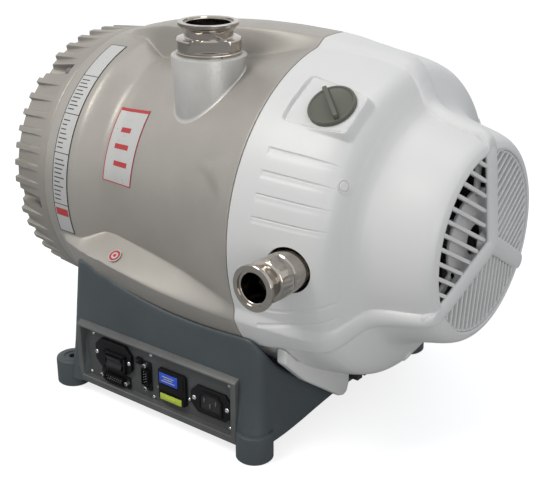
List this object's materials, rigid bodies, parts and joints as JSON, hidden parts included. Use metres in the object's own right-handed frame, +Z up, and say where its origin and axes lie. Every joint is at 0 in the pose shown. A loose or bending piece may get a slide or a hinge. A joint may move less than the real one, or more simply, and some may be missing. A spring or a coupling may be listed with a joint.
{
  "type": "dry_scroll_vacuum_pump",
  "caption": "Dry scroll vacuum pump with finned end, ridged round housing, fan cowl, clamp-flange inlet and exhaust, gas ballast knob and a cast base with connectors",
  "frame": {"origin": "on the floor, at the centre of the pattern of the four foot holes", "axes": "+Z up, +X along the shaft towards the fan"},
  "size_m": [0.47, 0.3513, 0.38],
  "materials": {
    "cast_grey": "satin",
    "scroll_grey": "satin",
    "base_blue": "satin",
    "panel_grey": "satin",
    "cowl_white": "satin",
    "knob_olive": "satin",
    "black_plastic": "satin",
    "blue_plastic": "gloss",
    "yellow_plastic": "satin",
    "stainless": "polished",
    "steel": "satin",
    "alloy": "satin",
    "iron": "matte",
    "brass": "satin",
    "rubber": "matte",
    "seal_plastic": "satin",
    "board": "gloss",
    "foil": "satin",
    "badge_enamel": "gloss"
  },
  "bodies": {
    "root": {"base_casting": "base_blue", "base_bolts": "steel", "connector_panel": "panel_grey", "panel_screws": "steel", "switch_housing": "black_plastic", "logic_connector": "black_plastic", "serial_connector": "black_plastic", "status_lamp": "black_plastic", "voltage_selector": "black_plastic", "selector_window": "blue_plastic", "fuse_drawer": "yellow_plastic", "mains_inlet": "black_plastic", "mains_pins": "brass", "module_screws": "steel", "drive_board": "board", "pump_housing": "cast_grey", "fixed_scroll": "scroll_grey", "fixed_scroll_bolts": "steel", "fixed_tip_seal": "seal_plastic", "scroll_seal_ring": "rubber", "bellows": "steel", "front_bearing": "steel", "bearing_retainer": "steel", "rear_bearing": "steel", "motor_casing": "alloy", "motor_end_bell": "alloy", "motor_stator": "iron", "stator_windings": "brass", "fan_cowl": "cowl_white", "end_grille": "cowl_white", "cowl_screws": "steel", "ballast_valve": "brass", "inlet_adaptor": "stainless", "inlet_screen": "steel", "exhaust_adaptor": "stainless", "exhaust_pipe": "steel", "air_duct": "cowl_white", "tail_bumper": "rubber", "data_strip": "foil", "front_label": "foil", "round_badge": "badge_enamel"},
    "shaft": {"crankshaft": "steel", "front_counterweight": "brass", "rear_counterweight": "brass", "motor_rotor": "iron", "cooling_fan": "black_plastic"},
    "orbiter": {"orbiting_scroll": "alloy", "orbit_tip_seal": "seal_plastic", "orbit_bearing": "steel"},
    "knob": {"ballast_knob": "knob_olive"},
    "rocker": {"power_rocker": "black_plastic"}
  },
  "joints": [
    {"name": "shaft_spin", "type": "hinge", "parent": "root", "child": "shaft", "pos_m": [0, 0, 0.206], "axis": [1, 0, 0], "continuous": true},
    {"name": "scroll_orbit", "type": "hinge", "parent": "shaft", "child": "orbiter", "pos_m": [-0.085, 0, 0.211], "axis": [1, 0, 0], "continuous": true},
    {"name": "ballast_turn", "type": "hinge", "parent": "root", "child": "knob", "pos_m": [0.166, -0.08677, 0.32676], "axis": [0, -0.5835, 0.8121], "range_deg": [-45, 45]},
    {"name": "rocker_tilt", "type": "hinge", "parent": "root", "child": "rocker", "pos_m": [-0.04618, -0.1445, 0.04866], "axis": [1, 0, 0], "range_deg": [-10, 10]}
  ],
  "couplings": [
    {"joint": "scroll_orbit", "follows": "shaft_spin", "ratio": -1}
  ]
}
